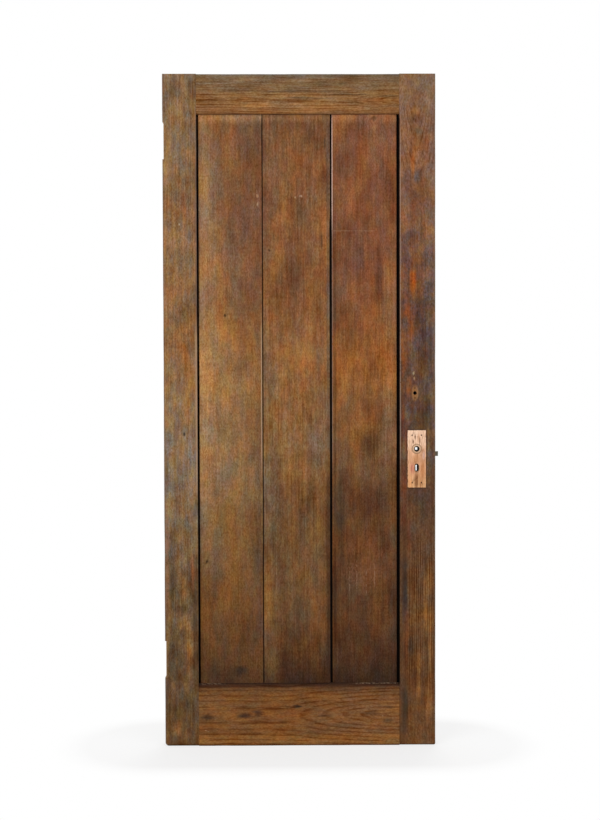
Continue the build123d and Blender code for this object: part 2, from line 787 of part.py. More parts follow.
# The bolt itself, flatted at the rear and cut with the rack that a splined key turns on
with BuildPart() as rack_bolt:
    with BuildSketch(Plane.YZ.offset(rack_rear_x)):
        with Locations((0, rack_bolt_height)):
            Circle(rack_bolt_radius)
    extrude(amount=lock_edge_x - rack_rear_x)
    flat_z = rack_bolt_height - rack_flat_drop
    tooth_count = int((rack_front_x - rack_rear_x) / rack_tooth_pitch)
    with BuildSketch(Plane.XZ):
        past_z = rack_bolt_height + rack_bolt_radius + overrun
        span_rectangle(rack_rear_x - overrun, rack_front_x, flat_z, past_z)
        for tooth in range(tooth_count):
            root_x = rack_rear_x + (tooth + 1 / 2) * rack_tooth_pitch
            with BuildLine():
                Polyline(
                    (root_x - rack_tooth_pitch / 2, flat_z),
                    (root_x, flat_z - rack_tooth_depth),
                    (root_x + rack_tooth_pitch / 2, flat_z),
                    close=True,
                )
            make_face()
    extrude(amount=rack_bolt_radius + overrun, both=True, mode=Mode.SUBTRACT)
rack_bolt.part.label = "rack_bolt"

with BuildPart() as rack_bolt_screws:
    for place in rack_screw_places:
        edge_screw(lock_edge_x, place)
        edge_screw_slot(lock_edge_x, place)
rack_bolt_screws.part.label = "rack_bolt_screws"

pieces = [
    hinge_stile,
    lock_stile,
    top_rail,
    bottom_rail,
    bottom_wedges,
    top_wedges,
    board_left,
    board_middle,
    board_right,
    lock_case,
    lock_cap,
    cap_screws,
    lock_forend,
    forend_screws,
    follower,
    latch_bolt,
    latch_spring,
    dead_bolt,
    bolt_spring,
    rack_bolt_body,
    rack_bolt,
    rack_bolt_screws,
]
os.makedirs("parts", exist_ok=True)
for piece in pieces:
    export_step(piece.part, f"parts/{piece.part.label}.step")

latch_travel = horn_reach * radians(horn_turn)
print(f"latch travel {latch_travel:.2f} mm over {horn_turn} degrees of the follower")
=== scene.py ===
import json
import math

import bmesh
import bpy
from mathutils import Matrix, Vector, noise


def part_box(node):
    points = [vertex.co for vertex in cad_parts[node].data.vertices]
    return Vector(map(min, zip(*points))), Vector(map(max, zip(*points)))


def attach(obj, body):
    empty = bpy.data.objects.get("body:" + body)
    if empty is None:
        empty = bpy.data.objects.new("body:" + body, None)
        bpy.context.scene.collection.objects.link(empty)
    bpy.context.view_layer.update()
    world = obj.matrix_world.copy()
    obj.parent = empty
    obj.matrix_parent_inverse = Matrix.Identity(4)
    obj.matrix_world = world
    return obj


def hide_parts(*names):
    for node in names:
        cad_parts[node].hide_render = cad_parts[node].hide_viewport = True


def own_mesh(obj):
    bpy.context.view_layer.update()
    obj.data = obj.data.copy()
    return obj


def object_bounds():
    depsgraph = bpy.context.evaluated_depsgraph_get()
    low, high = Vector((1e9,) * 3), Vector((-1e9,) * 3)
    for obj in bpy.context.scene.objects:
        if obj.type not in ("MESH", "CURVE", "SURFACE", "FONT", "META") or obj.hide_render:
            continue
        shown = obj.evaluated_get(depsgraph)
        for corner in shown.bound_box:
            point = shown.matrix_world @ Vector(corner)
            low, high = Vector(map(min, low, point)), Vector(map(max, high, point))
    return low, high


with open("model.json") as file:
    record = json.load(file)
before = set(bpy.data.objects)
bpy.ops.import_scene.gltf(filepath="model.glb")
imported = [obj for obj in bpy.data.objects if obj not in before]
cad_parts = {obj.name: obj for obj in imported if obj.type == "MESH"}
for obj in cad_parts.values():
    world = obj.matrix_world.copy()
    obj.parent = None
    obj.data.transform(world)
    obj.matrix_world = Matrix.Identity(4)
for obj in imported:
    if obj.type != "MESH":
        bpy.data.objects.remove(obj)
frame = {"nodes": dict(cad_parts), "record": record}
cad_low, cad_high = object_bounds()

# Lengths in the materials are millimetres, and Blender's own are metres
MM = 0.001


def middle(opening):
    """Middle of one of the record's openings across the face, in millimetres."""
    boxes = {entry["name"]: entry["box_m"] for entry in frame["record"]["physics"]["openings"]}
    low, high = boxes[opening]
    return (low[0] + high[0]) / 2 / MM, (low[2] + high[2]) / 2 / MM


def mount(name):
    """One of the record's mounts."""
    return next(entry for entry in frame["record"]["mounts"] if entry["name"] == name)


def box_mm(node):
    """Lowest and highest corner of a node in millimetres."""
    low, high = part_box(node)
    return low / MM, high / MM


hinge_low, hinge_high = box_mm("hinge_stile")
lock_low, lock_high = box_mm("lock_stile")
bottom_high = box_mm("bottom_rail")[1]
top_low, top_high = box_mm("top_rail")
left_high = box_mm("board_left")[1]
middle_high = box_mm("board_middle")[1]
spring_low, spring_high = box_mm("latch_spring")
rail_shoulders = (hinge_high.x, lock_low.x)
front_y = lock_low.y
leaf_top = lock_high.z
joint_gap = 5
spindle_x, spindle_z = middle("spindle_socket")
key_x, key_z = middle("key_way")
rack_x, rack_z = middle("rack_key_way")
gain_centres = [mount(name)["pos_m"][2] / MM for name in ("lower_hinge_gain", "upper_hinge_gain")]


# Colours, as they would be picked on a screen

def srgb(red, green, blue):
    """Linear colour of an eight-bit screen colour."""
    def linear(part):
        share = part / 255
        return share / 12.92 if share <= 0.04045 else ((share + 0.055) / 1.055) ** 2.4
    return linear(red), linear(green), linear(blue), 1.0


FLAME = srgb(142, 82, 42)
RED_FLAME = srgb(120, 64, 42)
GREY_BLUE = srgb(100, 86, 82)
GREY_BROWN = srgb(104, 88, 74)
GREY_GREEN = srgb(98, 82, 58)
OLIVE_DARK = srgb(76, 60, 42)
PURPLE = srgb(84, 54, 46)
DARK = srgb(48, 31, 22)
STAIN = srgb(42, 36, 36)
PALE = srgb(176, 146, 118)
PINK = srgb(150, 106, 82)
GOLD = srgb(168, 116, 64)
# Near black: painted shade in the joint gaps, along the feet and beside the lock stile's inner arris, with
# some dirt
PAINTED_SHADE_AND_GRIME = srgb(7, 2, 0)
FRESH = srgb(206, 172, 156)
GREY_EDGE = srgb(130, 106, 92)
# Pale line on the lock stile's inner arris: painted highlight
ARRIS_HIGHLIGHT = srgb(158, 136, 120)
BARE_GAIN = srgb(158, 124, 88)


class Tree:
    """Node tree of one material, written as sums on sockets."""

    def __init__(self, name):
        self.material = bpy.data.materials.new(name)
        self.material.use_nodes = True
        self.nodes = self.material.node_tree.nodes
        self.links = self.material.node_tree.links
        self.shader = self.nodes["Principled BSDF"]
        metres = self.add("TexCoord").outputs["Object"]
        self.place = self.vector("MULTIPLY", metres, (1 / MM,) * 3)
        self.x, self.y, self.z = self.add_split(self.place)

    def add(self, kind, **settings):
        node = self.nodes.new("ShaderNode" + kind)
        for key, value in settings.items():
            setattr(node, key, value)
        return node

    def feed(self, socket, value):
        if isinstance(value, bpy.types.NodeSocket):
            self.links.new(value, socket)
        else:
            socket.default_value = value

    def add_split(self, place):
        node = self.add("SeparateXYZ")
        self.feed(node.inputs[0], place)
        return node.outputs

    def join(self, x, y, z):
        node = self.add("CombineXYZ")
        for socket, value in zip(node.inputs, (x, y, z)):
            self.feed(socket, value)
        return node.outputs[0]

    def math(self, operation, *values, clamp=False):
        node = self.add("Math", operation=operation, use_clamp=clamp)
        for socket, value in zip(node.inputs, values):
            self.feed(socket, value)
        return node.outputs[0]

    def total(self, *values):
        result = values[0]
        for value in values[1:]:
            result = self.math("ADD", result, value)
        return result

    def product(self, *values):
        result = values[0]
        for value in values[1:]:
            result = self.math("MULTIPLY", result, value)
        return result

    def vector(self, operation, *values):
        node = self.add("VectorMath", operation=operation)
        for socket, value in zip(node.inputs, values):
            self.feed(socket, value)
        return node.outputs["Value" if operation == "LENGTH" else "Vector"]

    def noise(self, place, detail=2.0, roughness=0.5):
        node = self.add("TexNoise")
        self.feed(node.inputs["Vector"], place)
        node.inputs["Scale"].default_value = 1
        node.inputs["Detail"].default_value = detail
        node.inputs["Roughness"].default_value = roughness
        return node.outputs["Fac"]

    def fade(self, value, start, end):
        """Rises smoothly from 0 at start to 1 at end."""
        node = self.add("MapRange", interpolation_type="SMOOTHSTEP")
        for socket, number in zip(node.inputs, (value, start, end)):
            self.feed(socket, number)
        return node.outputs[0]

    def within(self, value, low, high, soft):
        """1 between low and high, with edges that are soft millimetres wide."""
        rise = self.fade(value, low - soft / 2, low + soft / 2)
        return self.product(rise, self.fade(value, high + soft / 2, high - soft / 2))

    def mix(self, factor, first, second, blend="MIX"):
        node = self.add("Mix", data_type="RGBA", blend_type=blend)
        for socket, value in zip((node.inputs[0], node.inputs[6], node.inputs[7]), (factor, first, second)):
            self.feed(socket, value)
        return node.outputs[2]

    def ramp(self, value, low, high, stops):
        """Colour along a run from low to high, with stops given at places on it."""
        node = self.add("ValToRGB")
        elements = node.color_ramp.elements
        while len(elements) < len(stops):
            elements.new(0.5)
        for element, (place, colour) in zip(elements, sorted(stops)):
            element.position = (place - low) / (high - low)
            element.color = colour
        share = self.add("MapRange")
        for socket, number in zip(share.inputs, (value, low, high)):
            self.feed(socket, number)
        self.feed(node.inputs[0], share.outputs[0])
        return node.outputs[0]

    def surface(self, colour, roughness, height, bump_mm, strength):
        """Feeds the shader: colour, roughness, and a bump of the given depth."""
        bump = self.add("Bump")
        bump.inputs["Distance"].default_value = bump_mm * MM
        bump.inputs["Strength"].default_value = strength
        self.feed(bump.inputs["Height"], height)
        self.feed(self.shader.inputs["Base Color"], colour)
        self.feed(self.shader.inputs["Roughness"], roughness)
        self.feed(self.shader.inputs["Normal"], bump.outputs[0])


class Oak(Tree):
    """Old varnished oak whose grain runs along one axis of the leaf."""

    # Periods across and along the grain
    CLOUD = (80, 150)
    MOTTLE = (26, 44)
    STREAK = (4.2, 110)
    TICK = (3.2, 6.5)
    FLECK = (4.0, 6.5)
    PORE = (0.8, 16)
    DARK_GAIN = (0.46, 0.24, 0.0, 1)
    LIGHT_GAIN = (1.54, 1.76, 2.0, 1)
    TICK_DARK = (0.56, 0.34, 0.05, 1)
    TICK_LIGHT = (1.44, 1.66, 1.95, 1)
    GREY = (0.64, 0.85, 1.26, 1)
    GOLD = (1.40, 1.18, 0.55, 1)
    RED = (1.08, 0.92, 0.98, 1)
    GREEN = (0.92, 1.06, 0.98, 1)

    def __init__(self, name, along, seed):
        super().__init__(name)
        self.seed = seed
        across, run = (self.x, self.z) if along == "z" else (self.z, self.x)
        drift = self.noise(self.vector("MULTIPLY_ADD", self.join(across, self.y, run),
                                       (0.006, 0.006, 0.0024), (seed, 0, seed)))
        self.across = self.total(across, self.product(self.total(drift, -0.5), 7))
        self.run = run
        self.fibre = self.join(self.across, self.y, run)
        self.cloud = self.grain(self.CLOUD, 1, detail=2)
        self.mottle = self.grain(self.MOTTLE, 2, detail=2)
        self.streak = self.grain(self.STREAK, 3, detail=2)
        self.tick = self.grain(self.TICK, 4, detail=1)
        self.fleck = self.grain(self.FLECK, 5)
        self.pore = self.grain(self.PORE, 6)
        self.front = self.fade(self.y, 2, -2)
        ragged_x, ragged_z = (10, 22) if along == "z" else (36, 12)
        self.blot = self.join(self.total(self.x, self.product(self.total(self.streak, -0.5), ragged_x)), 0,
                              self.total(self.z, self.product(self.total(self.mottle, -0.5), ragged_z)))

    def grain(self, periods, turn, detail=2.0, roughness=0.5):
        """Noise drawn out along the fibres; each turn gives another pattern."""
        across, run = periods
        shift = self.seed * 3.7 + turn * 11.3
        scale = (1 / across, 1 / across, 1 / run)
        scaled = self.vector("MULTIPLY_ADD", self.fibre, scale, (shift, shift / 2, shift))
        return self.noise(scaled, detail, roughness)

    def tone(self, cloud=0.8, mottle=0.7, streak=0.9, extra=None):
        """Lightness about a middle of one half."""
        parts = [0.5]
        for layer, amount in ((self.cloud, cloud), (self.mottle, mottle), (self.streak, streak)):
            parts.append(self.product(self.total(layer, -0.5), amount))
        if extra is not None:
            parts.append(extra)
        return self.total(*parts)

    def rings(self, centre, depth, origin, slope, spacing, strength):
        """Growth rings: straight lines up to the origin, then arches that open along the grain."""
        wander = self.product(self.total(self.grain((70, 260), 7), -0.5), 9)
        off = self.total(self.across, -centre, wander)
        run = self.math("MAXIMUM", self.total(self.run, -origin), -depth)
        deep = self.total(depth, self.product(run, -slope))
        radius = self.math("SQRT", self.total(self.product(off, off), self.product(deep, deep)))
        phase = self.total(self.product(radius, 1 / spacing), self.product(self.grain((30, 130), 8), 0.8))
        saw = self.math("FRACT", phase)
        line = self.product(self.fade(saw, 0.40, 0.78), self.fade(saw, 1.0, 0.84))
        broken = self.fade(self.grain((6, 80), 9), 0.34, 0.56)
        ring = self.math("FLOOR", phase)
        shade = self.total(self.noise(self.join(self.product(ring, 0.61), self.seed, 0)), -0.5)
        return self.total(self.product(line, broken, -strength), self.product(shade, strength))

    def marked(self, colour, marks):
        """Soft ragged spots on the front face: place, half sizes, colour and strength."""
        clean = colour
        for x, z, half_x, half_z, stain, strength in marks:
            offset = self.vector("MULTIPLY_ADD", self.blot, (1 / half_x, 0, 1 / half_z),
                                 (-x / half_x, 0, -z / half_z))
            spot = self.fade(self.vector("LENGTH", offset), 1.4, 0.2)
            colour = self.mix(self.product(spot, strength), colour, stain)
        return self.mix(self.front, clean, colour)

    def line(self, colour, x_span, z_span, soft, stain, strength, break_up=0.0):
        """A straight band on the front, broken up along its length by the flecks."""
        band = self.product(self.within(self.x, *x_span, soft[0]), self.within(self.z, *z_span, soft[1]))
        kept = self.fade(self.fleck, break_up, break_up + 0.2) if break_up else 1.0
        return self.mix(self.product(band, self.front, kept, strength), colour, stain)

    def tinted(self, colour, mask, strength, tint):
        return self.mix(self.product(mask, strength), colour, self.mix(1.0, colour, tint, "MULTIPLY"))

    def shaded(self, colour, tone, hue_periods=(60, 165), hues=0.7, flecks=0.4):
        """The base colour lit and darkened by the grain, turning from grey to gold, with flecks and pores."""
        colour = self.mix(1.0, colour, self.mix(tone, self.DARK_GAIN, self.LIGHT_GAIN), "MULTIPLY")
        weathered = self.total(0.5, self.product(self.front, 0.5))
        glow = self.fade(self.grain(hue_periods, 10, detail=4, roughness=0.7), 0.28, 0.72)
        colour = self.tinted(colour, weathered, hues, self.mix(glow, self.GREY, self.GOLD))
        blush = self.fade(self.grain((22, 36), 11, detail=3), 0.30, 0.70)
        colour = self.tinted(colour, weathered, hues, self.mix(blush, self.GREEN, self.RED))
        colour = self.mix(1.0, colour, self.mix(self.tick, self.TICK_DARK, self.TICK_LIGHT), "MULTIPLY")
        colour = self.tinted(colour, self.fade(self.fleck, 0.60, 0.72), flecks, (0.58, 0.40, 0.14, 1))
        return self.tinted(colour, self.fade(self.pore, 0.55, 0.68), 0.3, (0.62, 0.44, 0.18, 1))

    def grained(self, colour, tone, dark, light):
        """Bare wood: the colour between a dark and a light share of itself."""
        return self.mix(1.0, colour, self.mix(tone, dark, light), "MULTIPLY")

    def stained(self, colour, mask, strength, stain):
        """The colour turned to a stain where the mask is 1."""
        return self.mix(self.product(mask, strength), colour, stain)

    def reach(self, x, z, half_x=1.0, half_z=1.0):
        """Distance from a point on the face, in half sizes."""
        offset = self.vector("MULTIPLY_ADD", self.join(self.x, 0, self.z), (1 / half_x, 0, 1 / half_z),
                             (-x / half_x, 0, -z / half_z))
        return self.vector("LENGTH", offset)

    def finished(self, colour):
        """Worn varnish: satin, with the pores and streaks felt in the surface."""
        self.shader.inputs["Specular IOR Level"].default_value = 0.06
        height = self.total(self.product(self.tick, 0.5), self.product(self.streak, 0.6),
                            self.product(self.pore, -0.5))
        roughness = self.total(0.46, self.product(self.cloud, 0.2), self.product(self.fleck, 0.2))
        self.surface(colour, roughness, height, bump_mm=0.4, strength=0.4)
        return self.material


# Hinge stile

# Darker towards the foot, partly as painted shade
HINGE_TONES = [(0, srgb(106, 76, 50)), (150, srgb(98, 73, 51)), (330, srgb(104, 79, 56)),
               (620, srgb(119, 94, 70)), (870, srgb(130, 107, 86)), (1110, srgb(140, 104, 71)),
               (1350, srgb(134, 97, 67)), (1840, srgb(132, 101, 74)), (2030, srgb(128, 104, 81))]
HINGE_MARKS = [
    (-325, 2000, 8, 25, PURPLE, 0.5),
    (-359, 1810, 9, 24, GREY_BROWN, 0.7),
    (-327, 1748, 8, 30, GREY_BROWN, 0.6),
    (-328, 1537, 8, 30, GREY_BROWN, 0.6),
    (-350, 1286, 16, 50, GREY_GREEN, 0.6),
    (-345, 697, 10, 40, GREY_BROWN, 0.6),
    (-384, 560, 12, 120, OLIVE_DARK, 0.4),
    (-388, 290, 14, 60, OLIVE_DARK, 0.7),
    (-389, 480, 8, 60, srgb(84, 78, 66), 0.65),
    (-335, 300, 11, 90, GOLD, 0.5),
    (-355, 375, 12, 24, GOLD, 0.35),
    (-355, 418, 16, 14, OLIVE_DARK, 0.6),
    (-347, 140, 18, 26, OLIVE_DARK, 0.55),
    (-372, 105, 14, 22, OLIVE_DARK, 0.5),
    (-372, 55, 26, 24, GOLD, 0.3),
    (-352, 500, 16, 50, GOLD, 0.3),
    (-325, 531, 7, 65, FLAME, 0.55),
    (-372, 1450, 9, 100, GOLD, 0.4),
    (-335, 1080, 9, 110, GOLD, 0.4),
    (-345, 1640, 9, 60, FLAME, 0.35),
    (-390, 830, 12, 110, srgb(150, 126, 104), 0.5),
    (-360, 1480, 40, 50, GREY_GREEN, 0.4),
    (-345, 1231, 22, 70, GOLD, 0.35),
    (-360, 1579, 3, 4, PALE, 0.9),
    (-348, 950, 4, 5, DARK, 0.9),
]
PORE_DARK = (0.5, 0.4, 0.3, 1)
GAIN_HALF = 56


def hinge_stile_oak():
    oak = Oak("hinge_stile_oak", "z", 3)
    colour = oak.ramp(oak.z, 0, leaf_top, HINGE_TONES)
    colour = oak.marked(colour, HINGE_MARKS)
    mottle = oak.total(0.7, oak.product(oak.fade(oak.z, 720, 480), 0.4))
    colour = oak.shaded(colour, oak.tone(0.7, mottle, 0.8), (24, 70), hues=0.7, flecks=0.6)
    outer, inner = hinge_low.x, hinge_high.x
    # Grey-blue along the rounded outer arris: painted shade
    colour = oak.line(colour, (outer + 1, outer + 3), (0, leaf_top), (1.2, 2), GREY_BLUE, 0.5)
    colour = oak.line(colour, (outer + 2.5, outer + 13), (438, 740), (4, 90), PINK, 0.5, 0.35)
    colour = oak.line(colour, (inner - 3, inner + 1), (1280, 1900), (2, 120), GREY_BLUE, 0.6, 0.3)
    colour = oak.line(colour, (inner - 5, inner + 1), (790, 1270), (2, 120), PALE, 0.55, 0.2)
    colour = oak.line(colour, (inner - 14, inner + 1), (190, 560), (8, 160), DARK, 0.35)
    bare = oak.grained(BARE_GAIN, oak.tone(0.6, 0.8, 1.0), PORE_DARK, (1.4, 1.5, 1.6, 1))
    bare = oak.tinted(bare, oak.fade(oak.pore, 0.52, 0.66), 0.6, PORE_DARK)
    for centre in gain_centres:
        floor = oak.product(oak.within(oak.x, outer + 0.5, outer + 6, 0.4),
                            oak.within(oak.z, centre - GAIN_HALF, centre + GAIN_HALF, 1))
        colour = oak.stained(colour, floor, 0.85, bare)
    # Near black along the foot: painted shadow under it, with dirt
    colour = oak.stained(colour, oak.fade(oak.z, 7, 2), 0.75, PAINTED_SHADE_AND_GRIME)
    return oak.finished(colour)


# Lock stile, with the bare patch of the lost lock plate

LOCK_TONES = [(0, srgb(112, 76, 46)), (150, srgb(101, 68, 44)), (380, srgb(105, 72, 43)),
              (620, srgb(98, 69, 49)), (860, srgb(88, 60, 46)), (1110, srgb(98, 66, 50)),
              (1350, srgb(106, 72, 57)), (1600, srgb(120, 81, 61)), (1840, srgb(132, 92, 69)),
              (2030, srgb(127, 99, 79))]
LOCK_MARKS = [
    (375, 2000, 26, 30, srgb(120, 100, 84), 0.6),
    (354, 1822, 18, 46, srgb(152, 98, 48), 0.6),
    (343, 1754, 8, 34, srgb(166, 94, 44), 0.75),
    (346, 1920, 16, 14, srgb(150, 102, 58), 0.4),
    (359, 1890, 20, 15, srgb(112, 88, 84), 0.65),
    (359, 1860, 15, 13, srgb(118, 100, 82), 0.6),
    (385, 1811, 8, 60, srgb(140, 80, 50), 0.5),
    (358, 1724, 15, 24, GREY_BLUE, 0.8),
    (337, 1800, 6, 26, PURPLE, 0.5),
    (364, 1783, 18, 24, srgb(112, 84, 74), 0.55),
    (344, 1620, 10, 40, FLAME, 0.45),
    (362, 1560, 10, 50, GREY_BLUE, 0.5),
    (372, 1290, 30, 220, srgb(94, 70, 62), 0.6),
    (376, 1080, 26, 110, srgb(84, 66, 58), 0.65),
    (396, 1180, 10, 260, srgb(86, 68, 60), 0.5),
    (342, 1412, 10, 50, srgb(160, 86, 36), 0.85),
    (326, 1310, 9, 45, srgb(140, 70, 34), 0.75),
    (339, 1270, 7, 45, srgb(128, 70, 40), 0.6),
    (316, 1190, 10, 75, FLAME, 0.75),
    (331, 1095, 9, 34, FLAME, 0.7),
    (312, 985, 6, 60, RED_FLAME, 0.7),
    (321, 930, 5, 50, RED_FLAME, 0.7),
    (316, 790, 10, 60, RED_FLAME, 0.6),
    (322, 1280, 8, 30, GREY_BLUE, 0.6),
    (345, 1190, 12, 60, GREY_BLUE, 0.75),
    (328, 1012, 8, 28, GREY_BLUE, 0.8),
    (349, 1020, 6, 24, GREY_BLUE, 0.7),
    (316, 890, 9, 45, GREY_BLUE, 0.6),
    (387, 1047, 14, 30, OLIVE_DARK, 0.6),
    (372, 990, 30, 30, OLIVE_DARK, 0.65),
    (369, 720, 18, 50, OLIVE_DARK, 0.6),
    (318, 470, 11, 110, srgb(58, 52, 50), 0.9),
    (322, 330, 9, 70, FLAME, 0.55),
    (314, 700, 9, 40, RED_FLAME, 0.6),
    (330, 640, 8, 60, RED_FLAME, 0.4),
    (336, 291, 10, 40, STAIN, 0.45),
    (322, 385, 12, 60, PURPLE, 0.5),
    (318, 115, 12, 65, srgb(60, 55, 46), 0.85),
    (390, 506, 12, 60, GOLD, 0.35),
    (388, 143, 14, 55, GOLD, 0.35),
    (393, 869, 8, 70, srgb(112, 92, 78), 0.5),
    (322, 1231, 13, 60, PURPLE, 0.5),
    (324, 1715, 12, 60, PURPLE, 0.35),
    (350, 1110, 14, 40, PURPLE, 0.4),
    (380, 420, 7, 90, GOLD, 0.4),
    (395, 300, 6, 120, GOLD, 0.4),
    (360, 200, 7, 90, GOLD, 0.35),
    (345, 1132, 3, 6, PALE, 0.8),
    (346, 1116, 2.5, 5, PALE, 0.7),
]
PATCH_X = (326.5, 381.5)
PATCH_Z = (785, 958)
PATCH_TONES = [(785, srgb(222, 170, 122)), (850, srgb(222, 166, 126)), (895, srgb(228, 176, 140)),
               (915, srgb(246, 204, 172)), (958, srgb(250, 210, 180))]
PATCH_MARKS = [
    (341, 843, 8, 20, srgb(206, 130, 108), 0.8),
    (372, 838, 8, 34, srgb(196, 130, 82), 0.8),
    (353, 873, 14, 18, srgb(196, 138, 94), 0.8),
    (350, 938, 2.4, 9, srgb(112, 70, 44), 0.9),
    (344, 921, 2.4, 8, srgb(112, 70, 44), 0.9),
    (364, 925, 1.8, 12, srgb(124, 80, 52), 0.8),
    (361, 940, 4, 14, srgb(206, 152, 116), 0.6),
    (352, 806, 6, 28, srgb(146, 96, 60), 0.9),
    (366, 802, 4, 24, srgb(180, 122, 78), 0.8),
    (334, 800, 7, 22, srgb(226, 158, 104), 0.7),
    (375, 882, 5, 14, srgb(230, 192, 178), 0.8),
]
SCREW_STAIN = 3.4
SPINDLE_RING = (12.6, 15.6)
KEY_HALO = (9, 15)
OVAL_HALVES = (11, 26)


def screw_places(name):
    """Middles of a plate's screw holes across the face, from the record's mount."""
    plate = mount(name)
    x, z = plate["pos_m"][0] / MM, plate["pos_m"][2] / MM
    half_x, half_z = plate["dims"].get("spacing_x_mm", 0) / 2, plate["dims"]["spacing_y_mm"] / 2
    sides = (-1, 1) if half_x else (0,)
    return [(x + side * half_x, z + end * half_z) for side in sides for end in (-1, 1)]


def bare_patch(oak, colour):
    """Bare wood where the lock plate sat, with the ring the knob's rose has left round the spindle hole."""
    bare = oak.ramp(oak.z, *PATCH_Z, PATCH_TONES)
    bare = oak.marked(bare, PATCH_MARKS)
    bare = oak.grained(bare, oak.tone(0.2, 0.5, 0.9), (0.56, 0.5, 0.44, 1), (1.34, 1.38, 1.42, 1))
    bare = oak.tinted(bare, oak.fade(oak.grain((4.6, 40), 12), 0.54, 0.66), 0.5, (0.62, 0.50, 0.40, 1))
    specks = oak.fade(oak.grain((1.7, 15), 13), 0.55, 0.66)
    bare = oak.tinted(bare, specks, 0.55, (0.5, 0.38, 0.28, 1))
    for x, z in screw_places("front_plate_screws"):
        bare = oak.stained(bare, oak.fade(oak.reach(x, z), SCREW_STAIN, 1), 0.95, srgb(70, 40, 26))
    from_spindle = oak.reach(spindle_x, spindle_z)
    bare = oak.stained(bare, oak.fade(from_spindle, *reversed(SPINDLE_RING)), 0.6, srgb(190, 160, 130))
    bare = oak.stained(bare, oak.within(from_spindle, *SPINDLE_RING, 2), 0.7, srgb(136, 100, 68))
    key_halo = oak.fade(oak.reach(key_x, key_z, *KEY_HALO), 1.15, 0.8)
    bare = oak.stained(bare, key_halo, 0.6, srgb(146, 110, 84))
    ragged = oak.product(oak.total(oak.tick, -0.5), 2.4)
    inside = oak.product(oak.within(oak.total(oak.x, ragged), *PATCH_X, 1.6),
                         oak.within(oak.total(oak.z, ragged), *PATCH_Z, 2))
    outline = oak.product(oak.within(oak.x, PATCH_X[0] - 3, PATCH_X[1] + 3, 4),
                          oak.within(oak.z, PATCH_Z[0] - 4, PATCH_Z[1] + 4, 5))
    colour = oak.stained(colour, outline, 0.45, DARK)
    return oak.mix(inside, colour, bare)


def lock_stile_oak():
    oak = Oak("lock_stile_oak", "z", 8)
    inner, outer = lock_low.x, lock_high.x
    upper = oak.fade(oak.z, 1480, 1780)
    arches = oak.product(oak.rings(352, 45, 1780, 0.18, 7.5, 0.24), oak.within(oak.z, 1690, 1930, 160))
    straight = oak.product(oak.rings(outer + 60, 1, 0, 0, 6.8, 0.5), oak.within(oak.z, 200, 600, 160),
                           oak.fade(oak.x, inner + 12, inner + 36))
    colour = oak.ramp(oak.z, 0, leaf_top, LOCK_TONES)
    colour = oak.line(colour, (outer - 30, outer + 9), (900, leaf_top + 200), (16, 300), GREY_EDGE, 0.4)
    colour = oak.marked(colour, LOCK_MARKS)
    hues = oak.total(0.5, oak.product(oak.fade(oak.z, 650, 950), 0.45), oak.product(upper, -0.4))
    streak = oak.total(0.75, oak.product(upper, -0.4))
    colour = oak.shaded(colour, oak.tone(0.7, 0.6, streak, oak.total(arches, straight)), (42, 56), hues)
    colour = oak.line(colour, (inner, inner + 20), (0, 780), (14, 160), srgb(66, 46, 36), 0.3)
    # Pale line along the inner arris beside the gap: painted highlight
    colour = oak.line(colour, (inner + 2, inner + 4.6), (850, 1880), (1.4, 160), ARRIS_HIGHLIGHT, 0.6, 0.25)
    # Near black along the inner arris: painted shade of the gap beside the boards
    colour = oak.line(colour, (inner - 1, inner + 1.7), (185, 1905), (1, 20), PAINTED_SHADE_AND_GRIME, 0.85)
    # Grey-green along the rounded outer arris: painted shade
    colour = oak.line(colour, (outer - 4, outer - 1), (0, leaf_top), (1.6, 2), GREY_GREEN, 0.4, 0.3)
    rubbed = oak.mix(oak.fade(oak.streak, 0.4, 0.6), srgb(146, 98, 54), srgb(166, 122, 82))
    oval = oak.fade(oak.reach(rack_x, rack_z, *OVAL_HALVES), 1.15, 0.6)
    colour = oak.stained(colour, oak.product(oval, oak.front), 0.75, rubbed)
    for x, z in screw_places("rack_plate_screws"):
        spot = oak.product(oak.fade(oak.reach(x, z), SCREW_STAIN, 1), oak.front)
        colour = oak.stained(colour, spot, 0.6, DARK)
    depth = oak.math("ABSOLUTE", oak.y)
    face = oak.fade(depth, -front_y - 0.6, -front_y - 0.3)
    colour = oak.mix(face, colour, bare_patch(oak, colour))
    # Dark brown on the walls of the holes in the patch: painted shade inside them
    holes = oak.product(oak.within(oak.x, *PATCH_X, 1), oak.within(oak.z, PATCH_Z[0], rack_z + 30, 2),
                        oak.fade(depth, -front_y - 0.3, -front_y - 1.5))
    colour = oak.mix(holes, colour, srgb(44, 20, 12))
    # Near black along the foot: painted shadow under it, with dirt
    colour = oak.stained(colour, oak.fade(oak.z, 5, 2), 0.75, PAINTED_SHADE_AND_GRIME)
    return oak.finished(colour)


# Rails

# The lowest stop paints the shade at the rail's lower edge, and the top stops grey the rounded upper arris as
# painted shade
TOP_TONES = [(1910, srgb(119, 80, 47)), (1920, srgb(141, 99, 62)), (1945, srgb(137, 99, 63)),
             (1958, srgb(143, 104, 66)), (1972, srgb(133, 99, 66)), (1988, srgb(123, 95, 67)),
             (2010, srgb(126, 98, 71)), (2022, srgb(117, 97, 77)), (2028, srgb(110, 97, 83))]
TOP_MARKS = [
    (215, 1952, 60, 6, FLAME, 0.35),
    (-120, 1935, 90, 6, GOLD, 0.4),
    (60, 2000, 120, 9, GREY_GREEN, 0.4),
    (-20, 1978, 200, 3.5, DARK, 0.35),
    (140, 1967, 100, 3, DARK, 0.4),
    (20, 1958, 90, 4, OLIVE_DARK, 0.5),
    (270, 1962, 40, 4, OLIVE_DARK, 0.5),
]


def top_rail_oak():
    oak = Oak("top_rail_oak", "x", 14)
    colour = oak.ramp(oak.z, top_low.z, top_high.z, TOP_TONES)
    colour = oak.marked(colour, TOP_MARKS)
    arches = oak.rings(1951, 22, 195, 0.12, 4.6, 0.26)
    colour = oak.shaded(colour, oak.tone(0.5, 0.4, 1.0, arches), (20, 90), hues=0.4)
    return oak.finished(colour)
